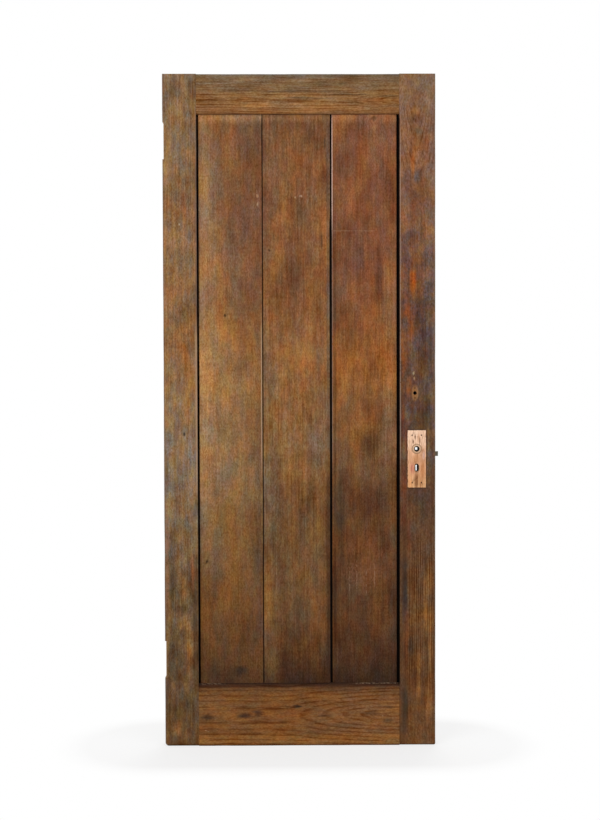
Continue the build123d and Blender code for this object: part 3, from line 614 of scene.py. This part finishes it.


# The stop at the foot paints the shadow under the rail, and the top stops darken the bevel down to the
# painted shadow at its lip
BOTTOM_TONES = [(0, srgb(72, 44, 23)), (5, srgb(128, 86, 45)), (10, srgb(146, 101, 54)),
                (28, srgb(136, 91, 48)), (40, srgb(125, 83, 47)), (150, srgb(125, 84, 48)),
                (176, srgb(104, 70, 42)), (181, srgb(80, 52, 37)), (188, srgb(46, 30, 22))]
BOTTOM_MARKS = [
    (-128, 99, 18, 12, srgb(62, 46, 38), 1.0),
    (-172, 90, 26, 9, srgb(64, 44, 32), 0.95),
    (-280, 88, 24, 10, srgb(62, 44, 30), 0.85),
    (-9, 119, 13, 6, srgb(54, 42, 34), 0.9),
    (262, 77, 18, 9, srgb(58, 44, 34), 0.95),
    (213, 97, 30, 7, srgb(56, 42, 30), 1.0),
    (270, 116, 22, 6, srgb(66, 48, 36), 0.7),
    (70, 90, 30, 4, srgb(64, 42, 26), 0.7),
    (-60, 95, 90, 14, srgb(140, 84, 42), 0.5),
    (120, 110, 40, 10, srgb(138, 84, 44), 0.5),
    (-283, 47, 3, 3, PALE, 0.9),
    (246, 92, 3, 3, PALE, 0.9),
    (190, 90, 150, 90, srgb(136, 97, 68), 0.35),
]


def bottom_rail_oak():
    oak = Oak("bottom_rail_oak", "x", 21)
    colour = oak.ramp(oak.z, 0, bottom_high.z, BOTTOM_TONES)
    colour = oak.marked(colour, BOTTOM_MARKS)
    arches = oak.rings(93, 46, 22, 0.18, 11, 0.33)
    colour = oak.shaded(colour, oak.tone(0.4, 0.3, 0.35, arches), (24, 70), hues=0.5, flecks=0.15)
    lip = (bottom_high.z - 3, bottom_high.z)
    # Pale lines along the top of the lip: painted highlight
    colour = oak.line(colour, (165, 300), lip, (20, 2), PALE, 0.35, 0.42)
    colour = oak.line(colour, (-305, -230), lip, (20, 2), PALE, 0.3, 0.42)
    return oak.finished(colour)


# Boards

# Each board's top stop, just under the top rail, is painted light that offsets the rail's shade; the low
# stops darken the foot, partly as painted shade
LEFT_TONES = [(190, srgb(78, 53, 36)), (300, srgb(100, 67, 41)), (500, srgb(114, 79, 48)),
              (730, srgb(131, 97, 63)),
              (940, srgb(147, 109, 71)), (1160, srgb(152, 110, 69)), (1370, srgb(140, 97, 63)),
              (1580, srgb(131, 90, 61)), (1800, srgb(124, 87, 59)), (1880, srgb(124, 87, 59)),
              (1910, srgb(186, 138, 99))]
LEFT_MARKS = [
    (-140, 1640, 36, 300, srgb(98, 66, 52), 0.5),
    (-278, 1220, 28, 190, srgb(176, 130, 86), 0.3),
    (-190, 1231, 18, 60, GOLD, 0.3),
    (-135, 640, 26, 120, srgb(80, 58, 40), 0.5),
    (-180, 225, 22, 16, STAIN, 0.7),
    (-250, 640, 26, 120, GREY_GREEN, 0.2),
    (-228, 840, 20, 130, srgb(160, 124, 90), 0.4),
    (-215, 1840, 40, 40, srgb(140, 92, 62), 0.5),
    (-224, 1305, 4, 5, DARK, 0.9),
    (-283, 562, 5, 6, DARK, 0.9),
    (-126, 1663, 4, 5, PALE, 0.6),
    (-124, 1640, 3, 6, PALE, 0.6),
]
MIDDLE_TONES = [(190, srgb(62, 41, 29)), (300, srgb(91, 59, 35)), (500, srgb(111, 76, 46)),
                (730, srgb(113, 80, 52)),
                (940, srgb(132, 97, 67)), (1160, srgb(134, 92, 58)), (1370, srgb(126, 83, 52)),
                (1580, srgb(128, 85, 54)), (1800, srgb(123, 82, 53)), (1885, srgb(123, 82, 53)),
                (1910, srgb(160, 110, 72))]
MIDDLE_MARKS = [
    (7.5, 1137, 13, 65, FLAME, 0.6),
    (-83, 641, 15, 50, GREY_GREEN, 0.6),
    (68, 1527, 3.5, 24, DARK, 0.6),
    (78, 1830, 3.5, 24, DARK, 0.6),
    (-90, 1503, 4, 4, DARK, 0.8),
    (-12, 1663, 3, 4, PALE, 0.9),
    (6, 1665, 4, 4, PALE, 1.0),
    (60, 1300, 20, 260, PURPLE, 0.3),
    (78, 620, 16, 110, srgb(74, 48, 32), 0.4),
    (18, 850, 20, 110, GOLD, 0.25),
    (78, 1700, 16, 60, PURPLE, 0.4),
    (-98, 470, 20, 120, GOLD, 0.25),
    (-92, 900, 20, 110, srgb(130, 106, 82), 0.4),
]
RIGHT_TONES = [(190, srgb(62, 43, 31)), (300, srgb(81, 52, 32)), (500, srgb(97, 62, 38)),
               (730, srgb(98, 65, 41)),
               (940, srgb(128, 88, 56)), (1160, srgb(135, 86, 48)), (1370, srgb(127, 79, 51)),
               (1580, srgb(121, 76, 53)), (1800, srgb(125, 80, 55)), (1885, srgb(124, 79, 54)),
               (1910, srgb(168, 112, 78))]
RIGHT_MARKS = [
    (272, 1250, 24, 220, srgb(160, 104, 56), 0.5),
    (240, 1402, 13, 65, PURPLE, 0.6),
    (213, 923, 30, 46, srgb(56, 36, 26), 0.65),
    (225, 1899, 15, 6, DARK, 0.6),
    (130, 1500, 22, 300, OLIVE_DARK, 0.2),
    (180, 640, 30, 150, srgb(84, 62, 42), 0.3),
    (218, 735, 44, 70, srgb(64, 36, 25), 0.6),
    (124, 690, 15, 190, srgb(56, 46, 37), 0.5),
    (200, 600, 60, 50, srgb(122, 70, 42), 0.2),
    (285, 640, 12, 40, srgb(70, 62, 50), 0.5),
    (285, 440, 12, 60, srgb(70, 62, 50), 0.4),
    (175, 1473, 24, 50, PURPLE, 0.4),
    (170, 985, 34, 50, GOLD, 0.25),
]
# Broad bands along the boards: across, up, how soft, colour and strength
LEFT_BANDS = [
    ((rail_shoulders[0] - 20, rail_shoulders[0] + 55), (640, 1905), (70, 300), srgb(172, 138, 106), 0.42),
    ((left_high.x - 90, left_high.x), (560, 1905), (60, 260), PURPLE, 0.22),
    ((left_high.x - 20, left_high.x), (300, 1905), (14, 200), PURPLE, 0.3),
]
MIDDLE_BANDS = [
    ((left_high.x - 20, left_high.x + 46), (200, 1180), (30, 200), srgb(124, 100, 76), 0.3),
    ((left_high.x, left_high.x + 14), (1400, 1905), (10, 200), PURPLE, 0.25),
    ((middle_high.x - 11, middle_high.x), (1000, 1905), (4, 300), srgb(92, 78, 66), 0.55),
    # Dark beside the right joint low down: painted shade
    ((middle_high.x - 13, middle_high.x), (190, 860), (12, 160), srgb(58, 36, 21), 0.7),
]
RIGHT_BANDS = [
    ((middle_high.x + joint_gap + 4, middle_high.x + joint_gap + 12), (190, 1560), (4, 300), DARK, 0.4),
    ((rail_shoulders[1] - 44, rail_shoulders[1] + 20), (900, 1500), (24, 240), srgb(152, 116, 88), 0.25),
]
SCRATCHES = [(150, 452, 540), (172, 470, 560), (201, 455, 530), (226, 480, 548)]
SCRATCH_WIDTH = 1.4
TONGUE_FACE = 8.4


def board_oak(name, seed, texture, tones, marks, bands, finish):
    """A boarded panel's board: darker to the foot, partly as painted shade, and near black in the joints as
    painted shade with dirt.
    """
    oak = Oak(name, "z", seed)
    colour = oak.ramp(oak.z, bottom_high.z - 20, top_low.z + 20, tones)
    for band in bands:
        colour = oak.line(colour, *band)
    colour = oak.marked(colour, marks)
    rays = oak.product(oak.total(oak.grain((34, 4.5), 12), -0.5), 0.22)
    colour = oak.shaded(colour, oak.tone(*texture, extra=rays))
    colour = finish(oak, colour)
    # Near black on the tongue faces deep in the joint gaps: painted shade of the gaps, with dirt
    gap_shade = oak.fade(oak.math("ABSOLUTE", oak.y), TONGUE_FACE, TONGUE_FACE - 1.2)
    return oak.finished(oak.mix(gap_shade, colour, PAINTED_SHADE_AND_GRIME))


def left_finish(oak, colour):
    """Pale specks near the joint with the middle board, and a pale line on the board's arris along it as
    painted highlight.
    """
    colour = oak.line(colour, (left_high.x - 16, left_high.x - 5), (1590, 1690), (4, 40), PALE, 0.6, 0.55)
    # Pale line on the arris along the joint: painted highlight
    return oak.line(colour, (left_high.x - 4, left_high.x - 1), (850, 1275), (1.4, 120), PALE, 0.75, 0.2)


def middle_finish(oak, colour):
    """Near-black lines along both joints: painted shade in the joint gaps, with dirt."""
    # Near black over both joints: painted shade in the gaps, with dirt
    colour = oak.line(colour, (left_high.x - 2, left_high.x + 3.4), (190, 1905), (1, 20), PAINTED_SHADE_AND_GRIME, 0.85)
    return oak.line(colour, (middle_high.x - 2.4, middle_high.x + 1), (190, 1600), (1, 60), PAINTED_SHADE_AND_GRIME, 0.9)


def right_finish(oak, colour):
    """A fresh pale arris by the shrunken joint, scuffs and scratches low down, a faint line higher up."""
    joint_x = middle_high.x + joint_gap
    dull = srgb(132, 112, 100)
    colour = oak.line(colour, (joint_x - 2, joint_x + 3), (860, 1620), (1.4, 160), dull, 0.6, 0.3)
    colour = oak.line(colour, (joint_x - 2, joint_x + 2.6), (1580, 1902), (1, 100), FRESH, 1.0, 0.2)
    colour = oak.line(colour, (130, 245), (480, 560), (60, 50), PINK, 0.3, 0.48)
    for x, z_low, z_high in SCRATCHES:
        colour = oak.line(colour, (x, x + SCRATCH_WIDTH), (z_low, z_high), (1, 20), PALE, 0.4, 0.4)
    return oak.line(colour, (100, 230), (1560, 1562), (20, 1.5), PALE, 0.25, 0.3)


def end_grain_oak():
    """Wedge ends, darkened by handling."""
    oak = Oak("wedge_oak", "x", 33)
    colour = oak.shaded(oak.mix(oak.cloud, srgb(88, 62, 40), srgb(116, 84, 54)), oak.tone())
    return oak.finished(colour)


def metal(name, plain, rust, rust_share, roughness, metallic=1.0):
    """Old ironmongery: dulled, spotted with rust, fine scratches in the bump."""
    tree = Tree(name)
    broad = tree.noise(tree.vector("MULTIPLY", tree.place, (0.16, 0.16, 0.16)), detail=6, roughness=0.65)
    spots = tree.noise(tree.vector("MULTIPLY", tree.place, (0.9, 0.9, 0.9)), detail=4)
    scratch = tree.noise(tree.vector("MULTIPLY", tree.place, (0.25, 2.5, 2.5)), detail=2)
    rusted = tree.fade(tree.total(broad, tree.product(tree.total(spots, -0.5), 0.5)),
                       0.68 - rust_share / 2, 0.80 - rust_share / 2)
    dulled = tree.mix(spots, plain, tree.mix(1.0, plain, (0.6, 0.58, 0.55, 1), "MULTIPLY"))
    colour = tree.mix(rusted, dulled, rust)
    bright = tree.total(1, tree.product(rusted, -0.8))
    tree.feed(tree.shader.inputs["Metallic"], tree.product(bright, metallic))
    tree.surface(colour, tree.total(roughness, tree.product(rusted, 0.3), tree.product(scratch, 0.15)),
                 tree.total(tree.product(scratch, 0.3), tree.product(spots, 0.5)), bump_mm=0.2, strength=0.4)
    return tree.material


# Worn copies of the frame members

ARRIS = 1.1
WEAR = 0.7
CUT_STEP = 35
PLANE_SLACK = 0.05
FLAT_AREA = 40


def outer_planes(low, high, shoulders):
    """Planes of a member's block as axis, place; shoulders stand in for ends with tenons past them."""
    planes = [(1, low.y), (1, high.y), (2, low.z), (2, high.z)]
    return planes + [(0, place) for place in (shoulders or (low.x, high.x))]


def plane_of(face, planes):
    """Index of the outer plane that a face lies on, or None."""
    centre = face.calc_center_median() / MM
    for index, (axis, place) in enumerate(planes):
        if abs(face.normal[axis]) > 0.999 and abs(centre[axis] - place) < PLANE_SLACK:
            return index
    return None


def is_arris(edge, planes):
    if len(edge.link_faces) != 2:
        return False
    sides = [plane_of(face, planes) for face in edge.link_faces]
    return None not in sides and sides[0] != sides[1]


def worn_copy(node, material, along, shoulders=None):
    """The member with its sharp arrises rubbed round, unevenly along the grain."""
    low, high = box_mm(node)
    axis = 2 if along == "z" else 0
    planes = outer_planes(low, high, shoulders)
    mesh = bmesh.new()
    mesh.from_mesh(frame["nodes"][node].data)
    bmesh.ops.remove_doubles(mesh, verts=mesh.verts, dist=0.02 * MM)
    bmesh.ops.dissolve_limit(mesh, angle_limit=math.radians(0.5), verts=mesh.verts, edges=mesh.edges)
    normal = Vector((0, 0, 0))
    normal[axis] = 1
    cuts = int((high[axis] - low[axis]) / CUT_STEP)
    for number in range(1, cuts):
        place = normal * (low[axis] + (high[axis] - low[axis]) * number / cuts) * MM
        bmesh.ops.bisect_plane(mesh, geom=mesh.verts[:] + mesh.edges[:] + mesh.faces[:],
                               plane_co=place, plane_no=normal, dist=0.001 * MM)
    arrises = [edge for edge in mesh.edges if is_arris(edge, planes)]
    bmesh.ops.bevel(mesh, geom=arrises, offset=ARRIS * MM, segments=2, profile=0.5, affect="EDGES",
                    clamp_overlap=True)
    for vert in mesh.verts:
        near = [(number, place) for number, place in planes
                if abs(vert.co[number] / MM - place) < ARRIS * 1.1]
        if len(near) < 2:
            continue
        worn = max(0, noise.noise(vert.co * 14 + Vector((low.x, 0, low.z)))) * WEAR
        for number, place in near:
            centre = (low[number] + high[number]) / 2
            vert.co[number] += math.copysign(worn * MM, centre - place)
    made = bpy.data.meshes.new(node + "_worn")
    mesh.to_mesh(made)
    mesh.free()
    for face in made.polygons:
        face.use_smooth = max(map(abs, face.normal)) < 0.999 or face.area < FLAT_AREA * MM ** 2
    made.set_sharp_from_angle(angle=math.radians(32))
    made.materials.append(material)
    piece = bpy.data.objects.new(node + "_worn", made)
    bpy.context.scene.collection.objects.link(piece)
    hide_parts(node)
    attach(piece, "leaf")
    return piece


worn_copy("hinge_stile", hinge_stile_oak(), "z")
worn_copy("lock_stile", lock_stile_oak(), "z")
worn_copy("top_rail", top_rail_oak(), "x", rail_shoulders)
worn_copy("bottom_rail", bottom_rail_oak(), "x", rail_shoulders)


# Latch spring, drawn as a round wire coil

COIL_TURNS = 5
COIL_STEPS = 28
WIRE_SIDES = 10
WIRE_RADIUS = 0.5


def coil_spring(material):
    axis_y = (spring_low.y + spring_high.y) / 2
    axis_z = (spring_low.z + spring_high.z) / 2
    radius = (spring_high.z - spring_low.z) / 2 - WIRE_RADIUS
    length = spring_high.x - spring_low.x - 2 * WIRE_RADIUS
    count = COIL_TURNS * COIL_STEPS
    points = []
    for step in range(count + 1):
        turn = math.tau * step / COIL_STEPS
        outward = Vector((0, math.cos(turn), math.sin(turn)))
        along = spring_low.x + WIRE_RADIUS + length * step / count
        centre = Vector((along, axis_y, axis_z)) + outward * radius
        for side in range(WIRE_SIDES):
            angle = math.tau * side / WIRE_SIDES
            rim = outward * math.cos(angle) + Vector((1, 0, 0)) * math.sin(angle)
            points.append((centre + rim * WIRE_RADIUS) * MM)
    faces = [tuple(range(WIRE_SIDES)), tuple(reversed(range(count * WIRE_SIDES, (count + 1) * WIRE_SIDES)))]
    for step in range(count):
        for side in range(WIRE_SIDES):
            here, beside = step * WIRE_SIDES + side, step * WIRE_SIDES + (side + 1) % WIRE_SIDES
            faces.append((here, here + WIRE_SIDES, beside + WIRE_SIDES, beside))
    made = bpy.data.meshes.new("latch_spring_coil")
    made.from_pydata(points, [], faces)
    made.shade_smooth()
    made.set_sharp_from_angle(angle=math.radians(60))
    made.materials.append(material)
    piece = bpy.data.objects.new("latch_spring_coil", made)
    bpy.context.scene.collection.objects.link(piece)
    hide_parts("latch_spring")
    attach(piece, "leaf")
    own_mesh(piece)


# Finishes of the solids that show as they are

BOARDS = {
    "board_left": (41, (0.6, 0.35, 0.5), LEFT_TONES, LEFT_MARKS, LEFT_BANDS, left_finish),
    "board_middle": (47, (0.8, 0.6, 0.8), MIDDLE_TONES, MIDDLE_MARKS, MIDDLE_BANDS, middle_finish),
    "board_right": (55, (0.8, 0.6, 0.75), RIGHT_TONES, RIGHT_MARKS, RIGHT_BANDS, right_finish),
}
finishes = {node: board_oak(node + "_oak", *look) for node, look in BOARDS.items()}
wedge = end_grain_oak()
iron = metal("brown_iron", srgb(40, 34, 30), srgb(58, 36, 24), 0.34, 0.62, metallic=0.3)
edge_steel = metal("rubbed_steel", srgb(128, 120, 108), srgb(92, 58, 36), 0.26, 0.42)
bolt_steel = metal("dark_bolt_steel", srgb(104, 98, 86), srgb(70, 50, 36), 0.22, 0.40)
spring_steel = metal("blued_spring_steel", srgb(110, 110, 116), srgb(86, 56, 38), 0.16, 0.35)
screw_steel = metal("screw_steel", srgb(118, 110, 98), srgb(88, 54, 34), 0.30, 0.45)
coil_spring(spring_steel)
finishes.update(dict.fromkeys(("top_wedges", "bottom_wedges"), wedge))
finishes.update(dict.fromkeys(("lock_case", "lock_cap", "follower"), iron))
finishes.update(dict.fromkeys(("lock_forend", "rack_bolt_body"), edge_steel))
finishes.update(dict.fromkeys(("latch_bolt", "dead_bolt", "rack_bolt"), bolt_steel))
finishes.update(dict.fromkeys(("cap_screws", "forend_screws", "rack_bolt_screws"), screw_steel))
finishes.update(dict.fromkeys(("bolt_spring", "latch_spring"), spring_steel))
for node, material in finishes.items():
    frame["nodes"][node].data.materials.clear()
    frame["nodes"][node].data.materials.append(material)


# Floor, light and camera

FLOOR_SIZE = 14
FLOOR_CLEAR = (0.02, 0.35)
FLOOR_SHADOW = 0.3
WORLD_LIGHT = 0.52
LAMPS = [
    ("key", (-2.3, -3.4, 3.3), 2.6, 0.34),
    ("fill", (2.6, -3.2, 1.7), 2.6, 0.22),
    ("behind", (0.6, 3.6, 2.6), 2.6, 0.45),
]


def seen_directly(tree, nodes):
    """1 for rays that show the background: straight, mirrored or through glass."""
    path = nodes.new("ShaderNodeLightPath")
    shown = path.outputs["Is Camera Ray"]
    for name in ("Is Glossy Ray", "Is Transmission Ray"):
        larger = nodes.new("ShaderNodeMath")
        larger.operation = "MAXIMUM"
        tree.links.new(shown, larger.inputs[0])
        tree.links.new(path.outputs[name], larger.inputs[1])
        shown = larger.outputs[0]
    return shown


def white_world():
    world = bpy.data.worlds.new("white_room")
    bpy.context.scene.world = world
    world.use_nodes = True
    tree, nodes = world.node_tree, world.node_tree.nodes
    light = nodes["Background"]
    light.inputs["Color"].default_value = (1, 1, 1, 1)
    light.inputs["Strength"].default_value = WORLD_LIGHT
    white = nodes.new("ShaderNodeBackground")
    white.inputs["Color"].default_value = (1, 1, 1, 1)
    choice = nodes.new("ShaderNodeMixShader")
    tree.links.new(seen_directly(tree, nodes), choice.inputs[0])
    tree.links.new(light.outputs[0], choice.inputs[1])
    tree.links.new(white.outputs[0], choice.inputs[2])
    tree.links.new(choice.outputs[0], nodes["World Output"].inputs[0])


def pale_floor():
    """A white floor that keeps the leaf's shadow near its foot and clears to plain white further out."""
    bpy.ops.mesh.primitive_plane_add(size=FLOOR_SIZE, location=(0, 0, cad_low.z))
    floor = bpy.context.object
    floor.name = "floor"
    tree = Tree("floor_white")
    tree.feed(tree.shader.inputs["Base Color"], (0.93, 0.93, 0.93, 1))
    tree.feed(tree.shader.inputs["Roughness"], 0.9)
    tree.feed(tree.shader.inputs["Specular IOR Level"], 0.0)
    side = tree.math("MAXIMUM", tree.total(tree.math("ABSOLUTE", tree.x), -cad_high.x / MM), 0)
    away = tree.vector("LENGTH", tree.join(side, tree.y, 0))
    clear = tree.math("MAXIMUM", tree.fade(away, FLOOR_CLEAR[0] / MM, FLOOR_CLEAR[1] / MM), 1 - FLOOR_SHADOW)
    shown = tree.product(seen_directly(tree.material.node_tree, tree.nodes), clear)
    glow = tree.add("Emission")
    choice = tree.add("MixShader")
    for socket, value in zip(choice.inputs, (shown, tree.shader.outputs[0], glow.outputs[0])):
        tree.feed(socket, value)
    tree.links.new(choice.outputs[0], tree.nodes["Material Output"].inputs[0])
    floor.data.materials.append(tree.material)


def soft_lamps():
    """Square lamps aimed at the leaf, each giving its share of the light that shows white as white."""
    target = (cad_low + cad_high) / 2
    for name, place, size, share in LAMPS:
        data = bpy.data.lights.new(name, "AREA")
        data.size = size
        reach = target - Vector(place)
        data.energy = share * math.pi ** 2 * reach.length_squared
        lamp = bpy.data.objects.new(name, data)
        lamp.location = place
        lamp.rotation_euler = reach.to_track_quat("-Z", "Y").to_euler()
        bpy.context.scene.collection.objects.link(lamp)


# The camera's place, its turn about its own axes, and its focal length in pixels of the photograph's frame
CAMERA_PLACE_MM = (-28.41, -4018.9, 1127.85)
CAMERA_TURN = (0.0268298, -0.0073851, -0.0029573)
FOCAL_PIXELS = 1323.94
FRAME_HEIGHT_PIXELS = 820
SENSOR_MM = 36


def photo_camera():
    data = bpy.data.cameras.new("camera")
    data.sensor_width = SENSOR_MM
    data.lens = SENSOR_MM * FOCAL_PIXELS / FRAME_HEIGHT_PIXELS
    level = Matrix(((1, 0, 0), (0, 0, -1), (0, 1, 0)))
    about_x, about_y, about_z = (Matrix.Rotation(angle, 3, axis) for angle, axis in zip(CAMERA_TURN, "XYZ"))
    right, down, forward = about_z @ about_y @ about_x @ level
    camera = bpy.data.objects.new("camera", data)
    turned = Matrix((right, -down, -forward)).transposed().to_4x4()
    camera.matrix_world = Matrix.Translation(Vector(CAMERA_PLACE_MM) * MM) @ turned
    bpy.context.scene.collection.objects.link(camera)
    bpy.context.scene.camera = camera


white_world()
pale_floor()
soft_lamps()
photo_camera()
bpy.context.scene.view_settings.view_transform = "Standard"
